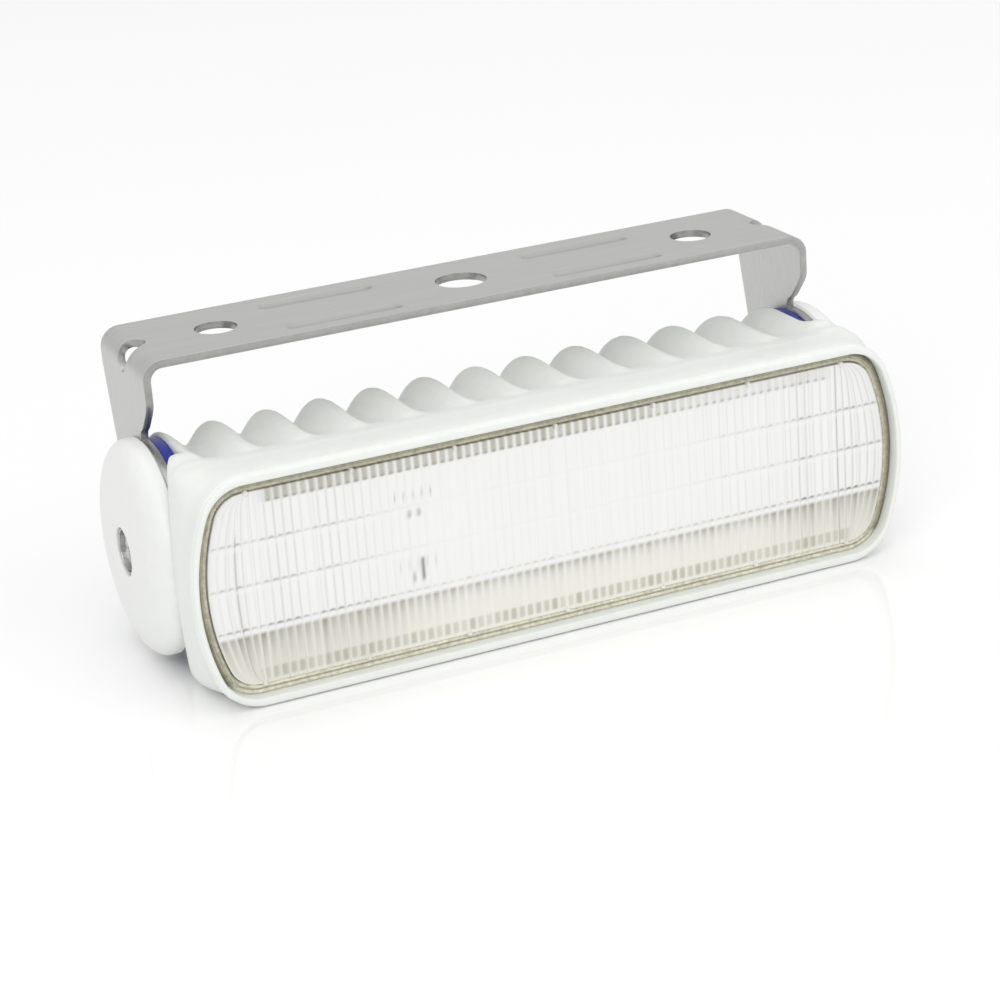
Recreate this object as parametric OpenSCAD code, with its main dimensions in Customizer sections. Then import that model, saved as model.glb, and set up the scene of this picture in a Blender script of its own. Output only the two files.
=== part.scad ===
/* [Bracket] */
// Overall width across the outer faces of the two legs
bracket_w = 143; // [141:0.5:150]
// Width of the steel strap, front to back
strap_w = 27.5; // [24:0.5:30]
// Thickness of the steel sheet
sheet_t = 1.5; // [1:0.1:1.8]
// Inner radius of the two bends
bend_r = 2.5; // [2:0.1:4]
// Diameter of the middle mounting hole
middle_hole_d = 10.5; // [8:0.1:12]
// Diameter of the two side mounting holes
side_hole_d = 8.5; // [6:0.1:9]
// Distance from the middle hole to each side hole
hole_pitch = 52; // [50:0.5:54]
// Diameter of the round eye at the foot of each leg
eye_d = 41.8; // [38:0.2:42]

/* [Tilt axis] */
// How far the tilt axis lies below the top of the strap
axis_drop = 38; // [37.5:0.5:42]
// How far the tilt axis lies ahead of the strap's centre line
axis_ahead = 9; // [8:0.5:10]
// Diameter of the bush that the bracket turns on
bush_d = 16; // [14:0.5:18]
// Radial running clearance of the bracket on the bush
bush_gap = 0.05; // [0.03:0.01:0.09]
// Diameter of the blue tilt ring
ring_d = 41.2; // [38:0.2:42]
// Diameter of the white end cap
cap_d = 42.8; // [42:0.2:43.4]
// How far the cap's outer face lies from the middle of the lamp
cap_reach = 78.2; // [78:0.1:79]

/* [Body] */
// Length of the lens opening
open_l = 148; // [146:0.5:149]
// Height of the lens opening
open_h = 42.4; // [41.6:0.2:43]
// Radius of the bulging ends of the opening
end_r = 46; // [40:1:60]
// Radius of the corners of the opening
corner_r = 8.2; // [7.5:0.1:9]
// Width of the raised lip above and below the opening
lip_w = 1.9; // [1.5:0.1:2.2]
// Width of the raised lip at the ends of the opening
lip_end_w = 1.4; // [1.2:0.1:1.6]
// Distance from the tilt axis forward to the front of the lip
front_y = 34.6; // [34:0.1:36]
// Radius of the wavy back over a crest
crest_r = 21.4; // [21.2:0.1:21.6]
// Depth of the waves
wave_depth = 3.8; // [3:0.1:4]
// Distance from crest to crest
wave_pitch = 11.2; // [11:0.1:11.4]

/* [Lamp] */
// Number of light sources in the row
led_count = 5; // [3:1:5]
// Distance between light sources
led_pitch = 26; // [25:0.5:26]
// Thickness of the clear lens
lens_t = 2.8; // [2:0.1:3]
// Depth of the lens face behind the lip
lens_sunk = 2; // [1.5:0.1:2.2]

/* [Cable inlet] */
// Diameter of the hole in the gland's rubber seal
cable_d = 6.6; // [5:0.1:7]

/* [Hidden] */
$fn = 64;
over = 1;

// Bracket, measured from the middle hole at the top of the strap
leg_x = bracket_w / 2 - sheet_t;
axis_y = -axis_ahead;
strap_front = -strap_w / 2;
strap_back = strap_w / 2;
leg_straight = 8.5;
neck_y = strap_front + 6.1;
neck_z = -15.2;
eye_r = eye_d / 2;
groove_l = 24;
groove_w = 3.2;
groove_x = 28.5;
groove_y = 8;
groove_deep = 0.5;
leaf_half_l = 3.6;
leaf_half_w = 2.75;
leaf_r = (leaf_half_l * leaf_half_l + leaf_half_w * leaf_half_w) / (2 * leaf_half_w);

// Tilt joint, from the body's end face outwards
face_gap = 0.1;
body_x = 67.4;
bush_x = leg_x + sheet_t + face_gap;
ring_x = leg_x - face_gap;
cap_floor = 1.5;
washer_t = 0.8;
cup_r = 4.55;
cup_sheet = 0.4;
head_r = 3.9;
head_h = 2.8;
recess_r = 4.8;
screw_r = 2.5;
screw_hole_r = 2.75;
screw_end = 58;
insert_x0 = 57;
insert_x1 = 66.5;
insert_r = 3.5;

// Body, measured from the tilt axis, with the lens towards -Y
rim_y = -front_y;
flange_back = -22;
shoulder_back = -12;
shoulder_top = 22.2;
shoulder_front = -29;
swing_r = 21.9;
wave_front = -19;
wave_steps = 8;
wave_count = 12;
wave_x = wave_count * wave_pitch / 2;
bay_x = 63.6;
bay_z = 16.8;
rear_x = 62;
rear_z = 14.5;
rear_r = 14.8;
ledge_y = -29;
step_y = -24.5;
spreader_y = -11.2;
boss_y = 12;
boss_end = 22.6;
boss_r = 9;
gland_hole_r = 6;

// Light engine
spreader_t = 3;
pad_t = 0.5;
board_t = 1.6;
board_l = 126;
board_h = 29;
pad_y = spreader_y - spreader_t;
board_y = pad_y - pad_t;
chip_y = board_y - board_t;
chip_w = 3.5;
chip_t = 0.9;
bowl_r = 12.4;
bowl_wall = 0.7;
bowl_end_r = 3;
rim_front = ledge_y + 0.2;
rim_t = 1.2;
fixing_x = 57;
fixing_z = 11.8;
driver_y = 1;
driver_l = 104;
driver_h = 21;
standoff_x = 44;
standoff_z = 8;
pin_x = 34;
pin_z = 9.5;
pin_pitch = 2.54;
pin_r = 0.5;

// Points of the bulging, round-cornered bar outline
function bar_points(half_l, half_h, side_r, round_r, steps = 8) =
    let (mid = half_l - side_r, up = half_h - round_r)
    let (cx = mid + sqrt(pow(side_r - round_r, 2) - up * up))
    let (turn = atan2(up, cx - mid))
    let (quarter = concat(
        [for (i = [0:steps]) [mid + side_r * cos(turn * i / steps), side_r * sin(turn * i / steps)]],
        [for (i = [1:steps]) let (a = turn + (90 - turn) * i / steps)
            [cx + round_r * cos(a), up + round_r * sin(a)]]))
    let (n = len(quarter) - 1)
    concat(
        quarter,
        [for (i = [n:-1:1]) [-quarter[i].x, quarter[i].y]],
        [for (i = [0:n]) [-quarter[i].x, -quarter[i].y]],
        [for (i = [n:-1:1]) [quarter[i].x, -quarter[i].y]]);

// Radius of the wavy back at x
function wave(x) = crest_r - wave_depth + wave_depth * pow(cos(180 * x / wave_pitch), 2);

wave_xs = concat([-body_x],
    [for (i = [0:wave_count * wave_steps]) -wave_x + i * wave_pitch / wave_steps], [body_x]);

module at_axis() {
    translate([0, axis_y, -axis_drop]) children();
}

// Extrudes an X-Z outline from y0 back to y1
module deep(y0, y1) {
    translate([0, y1, 0]) rotate([90, 0, 0]) linear_extrude(y1 - y0) children();
}

// Turns a radius-along-X profile about the tilt axis
module turned(angle = 360) {
    rotate([0, 90, 0]) rotate_extrude(angle = angle, $fn = 96) children();
}

// Round bar along X from x0 to x1
module round_x(r, x0, x1) {
    translate([x0, 0, 0]) rotate([0, 90, 0]) cylinder(h = x1 - x0, r = r);
}

// Round bar along Y from y0 to y1, centred at x and z
module round_y(r, y0, y1, x = 0, z = 0) {
    translate([x, y1, z]) rotate([90, 0, 0]) cylinder(h = y1 - y0, r = r);
}

module block(x, y0, y1, z, cx = 0, cz = 0) {
    translate([cx - x / 2, y0, cz - z / 2]) cube([x, y1 - y0, z]);
}

module bar2d(inset) {
    polygon(bar_points(open_l / 2 - inset, open_h / 2 - inset, end_r - inset, corner_r - inset));
}

module four(x, z) {
    for (sx = [-1, 1], sz = [-1, 1]) translate([sx * x, 0, sz * z]) children();
}

// ---------- bracket ----------

module bend_shell(grow) {
    r = bend_r + grow;
    half = leg_x + grow;
    low = -axis_drop - eye_r - over;
    translate([0, grow - sheet_t]) union() {
        for (s = [-1, 1]) translate([s * (half - r), -r]) circle(r);
        translate([-half + r, -r]) square([2 * (half - r), r]);
        translate([-half, low]) square([2 * half, -low - r]);
    }
}

module strap_path() {
    difference() {
        bend_shell(sheet_t);
        bend_shell(0);
    }
}

// Outline of strap and leg seen from the end
module leg_side() {
    rotate([90, 0, 90]) linear_extrude(bracket_w + 2 * over, center = true) difference() {
        union() {
            translate([axis_y, -axis_drop]) circle(eye_r, $fn = 96);
            polygon([[strap_front, over], [strap_back, over], [strap_back, -4],
                [axis_y + eye_r * cos(32), -axis_drop + eye_r * sin(32)],
                [axis_y, -axis_drop], [neck_y, -axis_drop], [neck_y, neck_z],
                [neck_y - 1.6, neck_z + 0.9], [strap_front + 0.8, -leg_straight - 1.5],
                [strap_front, -leg_straight]]);
        }
        translate([axis_y, -axis_drop]) circle(bush_d / 2 + bush_gap);
    }
}

module grooves(top, depth, width) {
    for (sx = [-1, 1], sy = [-1, 1]) {
        translate([sx * groove_x, sy * groove_y, top - depth]) {
            linear_extrude(depth) union() {
                square([groove_l - width, width], center = true);
                for (e = [-1, 1]) translate([e * (groove_l - width) / 2, 0]) circle(width / 2);
            }
        }
    }
}

// Pointed cut-out through the outside of a bend, along its diagonal
module bend_leaf() {
    translate([-bracket_w / 2 + 2, 0, -2]) rotate([0, -45, 0]) intersection_for (s = [-1, 1]) {
        translate([0, s * (leaf_r - leaf_half_w), -5]) cylinder(h = 10, r = leaf_r);
    }
}

module bracket() {
    color([0.72, 0.72, 0.71]) difference() {
        union() {
            intersection() {
                translate([0, 40, 0]) rotate([90, 0, 0]) linear_extrude(80) strap_path();
                leg_side();
            }
            grooves(-sheet_t, groove_deep, groove_w + 1);
        }
        grooves(over, over + groove_deep, groove_w);
        translate([0, 0, -sheet_t - over]) {
            cylinder(h = sheet_t + 2 * over, d = middle_hole_d);
            for (s = [-1, 1]) translate([s * hole_pitch, 0, 0])
                cylinder(h = sheet_t + 2 * over, d = side_hole_d);
        }
        bend_leaf();
        mirror([1, 0, 0]) bend_leaf();
    }
}

// ---------- body ----------

// Front block: the lip and flange, tapering back into the waves
module front_block() {
    top = open_h / 2 + lip_w;
    end = open_l / 2 + lip_end_w;
    intersection() {
        deep(rim_y, 0) polygon(bar_points(end, top, end_r + lip_end_w, corner_r + lip_w));
        rotate([90, 0, 90]) linear_extrude(2 * end + 2, center = true) polygon([
            [rim_y, top - 0.6], [rim_y + 0.6, top], [flange_back, top - 0.8], [-17, 21.3],
            [-6, 17.8], [0, 17.6], [0, -17.6], [-6, -17.8], [-17, -21.3],
            [flange_back, -top + 0.8], [rim_y + 0.6, -top], [rim_y, -top + 0.6]]);
        translate([0, 0, -top - over]) linear_extrude(2 * (top + over)) polygon([
            [-end + 0.6, rim_y], [-end, rim_y + 0.6], [-end, flange_back],
            [-body_x, flange_back], [-body_x, 0], [body_x, 0], [body_x, flange_back],
            [end, flange_back], [end, rim_y + 0.6], [end - 0.6, rim_y]]);
    }
}

// Fuller shoulders that carry the frame's four corners back over the tilt rings
module shoulders() {
    half = open_l / 2 + lip_end_w;
    intersection() {
        deep(shoulder_front, shoulder_back) polygon(bar_points(half, shoulder_top, 90, 5));
        rotate([90, 0, 90]) linear_extrude(2 * half + 2, center = true) polygon([
            [shoulder_front, 19], [-20, shoulder_top], [shoulder_back - 1.4, shoulder_top],
            [shoulder_back, shoulder_top - 0.7], [shoulder_back, 0.7 - shoulder_top],
            [shoulder_back - 1.4, -shoulder_top], [-20, -shoulder_top], [shoulder_front, -19]]);
        for (s = [0, 1]) mirror([s, 0, 0]) translate([0, 0, -open_h]) linear_extrude(2 * open_h)
            polygon([[66, shoulder_front], [half - 1.6, shoulder_front], [half, flange_back - 1.3],
                [half - 0.6, -21.4], [half - 1.7, -19], [half - 3.5, -14.9], [half - 5, shoulder_back],
                [66, shoulder_back]]);
    }
}

// Room for the cap, eye and ring of each end to sit inside the frame's corners
module end_swing() {
    for (s = [0, 1]) mirror([s, 0, 0]) round_x(swing_r, body_x, body_x + 12);
}

// Wavy heat-sink back: straight waves above and below, turned waves behind
module wavy_back() {
    deep(wave_front, 0) polygon(concat(
        [for (x = wave_xs) [x, wave(x)]],
        [for (i = [len(wave_xs) - 1:-1:0]) [wave_xs[i], -wave(wave_xs[i])]]));
    turned(180) polygon(concat([[0, -body_x]], [for (x = wave_xs) [wave(x), x]], [[0, body_x]]));
}

module cavity() {
    deep(rim_y - over, ledge_y) bar2d(0);
    deep(ledge_y - over, step_y) bar2d(4.4);
    block(2 * bay_x, step_y - over, spreader_y, 2 * bay_z);
    block(2 * rear_x, spreader_y - over, 1, 2 * rear_z);
    turned(180) translate([0, -rear_x]) square([rear_r, 2 * rear_x]);
}

module housing() {
    color([0.9, 0.91, 0.89]) at_axis() difference() {
        union() {
            difference() {
                union() {
                    front_block();
                    difference() {
                        shoulders();
                        end_swing();
                    }
                    wavy_back();
                    round_y(boss_r, boss_y, boss_end);
                }
                cavity();
            }
            for (s = [-1, 1]) round_x(7.5, s > 0 ? 54.5 : -rear_x - over, s > 0 ? rear_x + over : -54.5);
            four(fixing_x, fixing_z) round_y(3.2, spreader_y, -1);
            four(standoff_x, standoff_z) round_y(3, driver_y + board_t, 13.5);
        }
        for (s = [0, 1]) mirror([s, 0, 0]) round_x(insert_r, insert_x0, body_x + over);
        four(fixing_x, fixing_z) round_y(1.25, spreader_y - over, -3);
        four(standoff_x, standoff_z) round_y(1.25, driver_y, 11);
        round_y(gland_hole_r, boss_y - 2, boss_end + over);
    }
}

// ---------- lens and seal ----------

module lens() {
    color([0.93, 0.94, 0.9, 0.4]) at_axis()
        deep(rim_y + lens_sunk, rim_y + lens_sunk + lens_t) bar2d(2.2);
}

module lens_gasket() {
    seat = rim_y + lens_sunk + lens_t;
    color([0.36, 0.34, 0.24]) at_axis() difference() {
        deep(rim_y + lens_sunk + 0.6, ledge_y) bar2d(0);
        deep(rim_y, seat) bar2d(2.2);
        deep(rim_y, ledge_y + over) bar2d(4.4);
    }
}

// ---------- light engine ----------

module at_each_led() {
    for (i = [0:led_count - 1]) translate([(i - (led_count - 1) / 2) * led_pitch, 0, 0]) children();
}

module reflector() {
    bowl_back = chip_y;
    color([0.93, 0.93, 0.9]) at_axis() difference() {
        union() {
            deep(rim_front, rim_front + rim_t) bar2d(4.8);
            at_each_led() translate([0, bowl_back, 0]) rotate([90, 0, 0])
                cylinder(h = bowl_back - rim_front, r1 = bowl_end_r + bowl_wall, r2 = bowl_r);
        }
        at_each_led() translate([0, bowl_back + 0.01, 0]) rotate([90, 0, 0])
            cylinder(h = bowl_back - rim_front + 0.02, r1 = bowl_end_r, r2 = bowl_r - bowl_wall);
    }
}

module led_board() {
    color([0.93, 0.93, 0.91]) at_axis() difference() {
        block(board_l, chip_y, board_y, board_h);
        four(fixing_x, fixing_z) round_y(1.6, chip_y - over, board_y + over);
        link_holes(pin_r + 0.05, chip_y - over, board_y + over);
    }
}

module led_chips() {
    color([0.95, 0.85, 0.4]) at_axis() at_each_led() block(chip_w, chip_y - chip_t, chip_y, chip_w);
}

module thermal_pad() {
    color([0.55, 0.6, 0.65]) at_axis() difference() {
        block(board_l, board_y, pad_y, board_h);
        four(fixing_x, fixing_z) round_y(1.8, board_y - over, pad_y + over);
        link_slot(board_y - over, pad_y + over);
    }
}

module heat_spreader() {
    color([0.75, 0.76, 0.78]) at_axis() difference() {
        block(board_l, pad_y, spreader_y, 2 * bay_z - 0.4);
        four(fixing_x, fixing_z) round_y(1.6, pad_y - over, spreader_y + over);
        link_slot(pad_y - over, spreader_y + over);
    }
}

module link_holes(r, y0, y1) {
    for (s = [-1, 1]) round_y(r, y0, y1, pin_x + s * pin_pitch / 2, pin_z);
}

module link_slot(y0, y1) {
    round_y(2.6, y0, y1, pin_x, pin_z);
}

module link_pins() {
    color([0.8, 0.7, 0.4]) at_axis() link_holes(pin_r, chip_y - 0.8, driver_y + board_t + 0.6);
}

// Pan-head screw along Y, its head's seat at y
module pan_screw(y, shaft_end) {
    difference() {
        union() {
            round_y(2.75, y - 2, y);
            round_y(1.25, y - 0.1, shaft_end);
        }
        translate([0, y - 1, 0]) rotate([90, 0, 0]) cylinder(h = over + 1, r = 1.2, $fn = 6);
    }
}

module board_screws() {
    color([0.7, 0.71, 0.72]) at_axis() four(fixing_x, fixing_z) pan_screw(chip_y, -4);
}

module driver_board() {
    color([0.12, 0.35, 0.2]) at_axis() difference() {
        block(driver_l, driver_y, driver_y + board_t, driver_h);
        four(standoff_x, standoff_z) round_y(1.6, driver_y - over, driver_y + board_t + over);
        link_holes(pin_r + 0.05, driver_y - over, driver_y + board_t + over);
    }
}

module driver_screws() {
    color([0.7, 0.71, 0.72]) at_axis() four(standoff_x, standoff_z) pan_screw(driver_y, 10);
}

module choke_coil() {
    color([0.65, 0.35, 0.15]) at_axis() difference() {
        round_y(7, driver_y - 7, driver_y, -20);
        round_y(2.6, driver_y - 8, driver_y - 1, -20);
    }
}

module capacitors() {
    color([0.15, 0.15, 0.2]) at_axis() for (x = [8, 20]) round_y(4, driver_y - 9.5, driver_y, x);
}

module driver_chips() {
    color([0.1, 0.1, 0.1]) at_axis() {
        block(6, driver_y - 1.4, driver_y, 6, cx = -36);
        block(5, driver_y - 1.2, driver_y, 4, cx = 32);
        block(6.5, driver_y - 2.3, driver_y, 6, cx = -4);
    }
}

module wire_terminal() {
    color([0.2, 0.5, 0.25]) at_axis() difference() {
        block(12, driver_y + board_t, driver_y + board_t + 7, 9);
        for (s = [-1, 1]) round_y(1.4, driver_y + board_t + 3, driver_y + board_t + 8, s * 2.6);
    }
}

// ---------- tilt joint ----------

// The right-hand piece, or its mirror image on the left
module end_piece(side) {
    mirror([side < 0 ? 1 : 0, 0, 0]) children();
}

module tilt_ring(side) {
    color([0.1, 0.14, 0.6]) at_axis() end_piece(side) difference() {
        union() {
            round_x(ring_d / 2, body_x, ring_x);
            round_x(bush_d / 2, body_x, bush_x);
        }
        round_x(screw_hole_r, body_x - over, bush_x + over);
    }
}

module end_cap(side) {
    r = cap_d / 2;
    color([0.93, 0.94, 0.93]) at_axis() end_piece(side) difference() {
        turned() polygon(concat(
            [[0, bush_x], [r - 0.4, bush_x], [r, bush_x + 0.4]],
            [for (a = [0:10:90]) [r - 9 + 9 * cos(a), cap_reach - 4.8 + 4.6 * sin(a)]],
            [[0, cap_reach]]));
        turned() translate([9, bush_x - over]) square([9.4, over + 3.6]);
        round_x(recess_r, bush_x + cap_floor, cap_reach + over);
        round_x(screw_hole_r, bush_x - over, cap_reach);
    }
}

// Cup washer that lines the cap's recess
module screw_washer(side) {
    seat = bush_x + cap_floor;
    color([0.75, 0.75, 0.76]) at_axis() end_piece(side) difference() {
        round_x(cup_r, seat, cap_reach - 0.5);
        round_x(cup_r - cup_sheet, seat + washer_t, cap_reach);
        round_x(screw_hole_r, seat - over, seat + washer_t + over);
    }
}

module clamp_screw(side) {
    seat = bush_x + cap_floor + washer_t;
    color([0.7, 0.7, 0.72]) at_axis() end_piece(side) difference() {
        union() {
            round_x(head_r, seat, seat + head_h);
            round_x(screw_r, screw_end, seat + 0.1);
        }
        translate([seat + head_h - 1.8, 0, 0]) rotate([0, 90, 0]) cylinder(h = 3, r = 2, $fn = 6);
    }
}

module thread_insert(side) {
    color([0.8, 0.65, 0.3]) at_axis() end_piece(side) difference() {
        round_x(insert_r, insert_x0, insert_x1);
        round_x(screw_r, insert_x0 - over, insert_x1 + over);
    }
}

module left_tilt_ring() tilt_ring(-1);
module right_tilt_ring() tilt_ring(1);
module left_end_cap() end_cap(-1);
module right_end_cap() end_cap(1);
module left_screw_washer() screw_washer(-1);
module right_screw_washer() screw_washer(1);
module left_clamp_screw() clamp_screw(-1);
module right_clamp_screw() clamp_screw(1);
module left_thread_insert() thread_insert(-1);
module right_thread_insert() thread_insert(1);

// ---------- cable inlet ----------

gland_seat = boss_end + 0.8;
gland_neck = gland_seat + 2.6;
gland_end = gland_neck + 3.2;
nut_end = gland_end + 1.6;

module gland_body() {
    color([0.88, 0.88, 0.87]) at_axis() difference() {
        union() {
            round_y(5.95, boss_y, gland_end);
            translate([0, gland_neck, 0]) rotate([90, 0, 0])
                cylinder(h = gland_neck - gland_seat, r = 8.4, $fn = 6);
        }
        round_y(cable_d / 2 + 0.5, boss_y - over, gland_end + over);
        round_y(5, gland_seat, gland_end + over);
    }
}

module gland_ring() {
    color([0.1, 0.1, 0.1]) at_axis() difference() {
        round_y(7.8, boss_end, gland_seat);
        round_y(5.95, boss_end - over, gland_seat + over);
    }
}

module gland_seal() {
    color([0.12, 0.12, 0.12]) at_axis() difference() {
        round_y(5, gland_seat, gland_end);
        round_y(cable_d / 2, gland_seat - over, gland_end + over);
    }
}

module gland_nut() {
    color([0.88, 0.88, 0.87]) at_axis() difference() {
        turned_nut();
        round_y(5.95, gland_neck - over, gland_end);
        round_y(cable_d / 2 + 0.4, gland_end - over, nut_end + over);
    }
}

module turned_nut() {
    translate([0, nut_end, 0]) rotate([90, 0, 0]) rotate_extrude() polygon([
        [0, 0], [6.2, 0], [7.6, 1.4], [7.6, nut_end - gland_neck - 0.2], [0, nut_end - gland_neck - 0.2]]);
}

bracket();
housing();
lens();
lens_gasket();
reflector();
led_board();
led_chips();
thermal_pad();
heat_spreader();
board_screws();
driver_board();
choke_coil();
capacitors();
driver_chips();
wire_terminal();
link_pins();
driver_screws();
left_tilt_ring();
right_tilt_ring();
left_end_cap();
right_end_cap();
left_screw_washer();
right_screw_washer();
left_clamp_screw();
right_clamp_screw();
left_thread_insert();
right_thread_insert();
gland_body();
gland_ring();
gland_seal();
gland_nut();
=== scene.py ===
import math

import bmesh
import bpy
import numpy as np
from mathutils import Matrix, Vector


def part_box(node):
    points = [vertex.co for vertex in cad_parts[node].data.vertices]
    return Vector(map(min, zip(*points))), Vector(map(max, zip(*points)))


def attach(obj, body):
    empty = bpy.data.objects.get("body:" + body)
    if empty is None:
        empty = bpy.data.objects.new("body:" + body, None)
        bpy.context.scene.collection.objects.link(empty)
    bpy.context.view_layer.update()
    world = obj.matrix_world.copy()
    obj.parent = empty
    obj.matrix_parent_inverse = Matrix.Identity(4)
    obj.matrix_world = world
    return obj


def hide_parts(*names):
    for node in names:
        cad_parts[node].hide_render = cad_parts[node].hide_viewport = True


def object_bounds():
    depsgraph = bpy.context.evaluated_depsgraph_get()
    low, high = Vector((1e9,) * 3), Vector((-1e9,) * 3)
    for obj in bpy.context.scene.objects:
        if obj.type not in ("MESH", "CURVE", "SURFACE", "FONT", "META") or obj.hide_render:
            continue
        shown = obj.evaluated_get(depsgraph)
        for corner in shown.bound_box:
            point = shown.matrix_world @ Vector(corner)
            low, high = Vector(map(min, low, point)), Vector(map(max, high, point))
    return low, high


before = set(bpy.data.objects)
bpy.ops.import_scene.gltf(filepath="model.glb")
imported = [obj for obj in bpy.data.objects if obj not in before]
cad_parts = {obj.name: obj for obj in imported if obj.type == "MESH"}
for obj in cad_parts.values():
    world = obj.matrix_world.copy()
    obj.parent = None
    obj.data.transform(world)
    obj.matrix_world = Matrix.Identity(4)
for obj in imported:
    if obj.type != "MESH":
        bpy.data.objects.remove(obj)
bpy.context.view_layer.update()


# ---------- Mounting bracket ----------
# A strip of 1.5 mm stainless sheet, brushed along its length, punched, pressed with four
# stiffening grooves and folded down into two legs. A pointed relief is cut across each fold,
# and each leg ends in a round eye that turns on the lamp.

MM = 0.001
steel_low, steel_high = (np.array(corner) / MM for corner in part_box("bracket"))
ring_low, ring_high = (np.array(corner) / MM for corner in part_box("left_tilt_ring"))
pivot = np.array([0.0, (ring_low[1] + ring_high[1]) / 2, (ring_low[2] + ring_high[2]) / 2])
leg_out = steel_high[0]
strap_half = steel_high[1]
sheet = 1.5
fold_r = 4.0
eye_r = pivot[2] - steel_low[2]
eye_bore = 8.05
hole_middle = 5.25
hole_side = 4.25
hole_at = 52.0
leaf_long = 4.6
leaf_wide = 3.1
groove_at = (28.5, 8.0)
groove_long = 24.0


def grid_mesh(name, grids, base=(0, 0, 0), up=None, sharp=35):
    """One mesh from grids of points (rows, columns, 3) in mm, moved by base and put in metres:
    each four neighbours make a quad and coinciding points become one. Faces of a closed shape
    point outwards, those of an open sheet towards up. Edges over sharp degrees stay crisp."""
    points, quads, first = [], [], 0
    for grid in grids:
        rows, cols = grid.shape[:2]
        at = first + np.arange(rows * cols).reshape(rows, cols)
        quads.append(np.stack([at[:-1, :-1], at[:-1, 1:], at[1:, 1:], at[1:, :-1]], -1).reshape(-1, 4))
        points.append(grid.reshape(-1, 3))
        first += rows * cols
    mesh = bpy.data.meshes.new(name)
    mesh.from_pydata(((np.concatenate(points) + base) * MM).tolist(), [], np.concatenate(quads).tolist())
    shape = bmesh.new()
    shape.from_mesh(mesh)
    bmesh.ops.remove_doubles(shape, verts=shape.verts, dist=2e-6)
    bmesh.ops.dissolve_degenerate(shape, edges=shape.edges, dist=1e-7)
    bmesh.ops.recalc_face_normals(shape, faces=shape.faces)
    if up is not None:
        lean = sum(face.normal.dot(up) * face.calc_area() for face in shape.faces)
        if lean < 0:
            bmesh.ops.reverse_faces(shape, faces=shape.faces)
    shape.to_mesh(mesh)
    shape.free()
    mesh.polygons.foreach_set("use_smooth", [True] * len(mesh.polygons))
    mesh.set_sharp_from_angle(angle=math.radians(sharp))
    piece = bpy.data.objects.new(name, mesh)
    bpy.context.scene.collection.objects.link(piece)
    return piece


def smooth(value, low, high):
    """0 below low, 1 above high, and the soft S curve 3t^2 - 2t^3 between them."""
    t = np.clip((value - low) / (high - low), 0, 1)
    return t * t * (3 - 2 * t)


def spread(stops, counts):
    """Numbers that run through the stops, with an even count of steps between each two."""
    parts = [np.linspace(a, b, n, endpoint=False) for a, b, n in zip(stops, stops[1:], counts)]
    return np.append(np.concatenate(parts), stops[-1])


def groove_depth(s, v):
    """Depth of the pressed grooves: a steep step down on the side towards the lens, then a long
    even rise towards the back, both fading out at the groove's ends."""
    ends = 1 - smooth(np.abs(np.abs(s) - groove_at[0]), groove_long / 2 - 1.6, groove_long / 2 + 0.2)
    across = (np.abs(v) - groove_at[1]) * np.sign(v)
    rise = 1 - np.clip((across + 1.2) / 3.9, 0, 1)
    return 0.75 * ends * smooth(across, -1.9, -1.2) * rise


def folded(s, v):
    """Points of the sheet's outer face: s runs along the strip from its middle, flat as far as
    the fold, round an arc of fold_r, then straight down; v runs across it."""
    flat = leg_out - fold_r
    reach = np.abs(s)
    turn = np.clip((reach - flat) / fold_r, 0, math.pi / 2)
    down = np.maximum(reach - flat - fold_r * math.pi / 2, 0)
    x = np.minimum(reach, flat) + fold_r * np.sin(turn)
    z = -fold_r * (1 - np.cos(turn)) - down - groove_depth(s, v)
    return np.stack([np.sign(s) * x, v, z], -1)


def frame_of(s_list, v_list):
    """The points round a rectangle's edge, in order, with the same steps as its neighbours."""
    left = [(s_list[0], v) for v in v_list[:-1]]
    top = [(s, v_list[-1]) for s in s_list[:-1]]
    right = [(s_list[-1], v) for v in v_list[:0:-1]]
    bottom = [(s, v_list[0]) for s in s_list[::-1]]
    return np.array(left + top + right + bottom)


def punched(edge, middle, reach, wide, rings=9):
    """Rings from a patch's edge in to a hole. The hole is where two arcs of one radius cross:
    reach to its tips and wide to its sides, which is a circle when both are the same."""
    ray = edge - middle
    angle = np.arctan2(ray[:, 1], ray[:, 0])
    radius = (reach * reach + wide * wide) / (2 * wide)
    sunk = radius - wide
    out = np.sqrt(radius ** 2 - (sunk * np.cos(angle)) ** 2) - sunk * np.abs(np.sin(angle))
    hole = middle + out[:, None] * np.stack([np.cos(angle), np.sin(angle)], -1)
    t = (np.linspace(0, 1, rings) ** 0.8)[:, None, None]
    return edge + (hole - edge) * t


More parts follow.
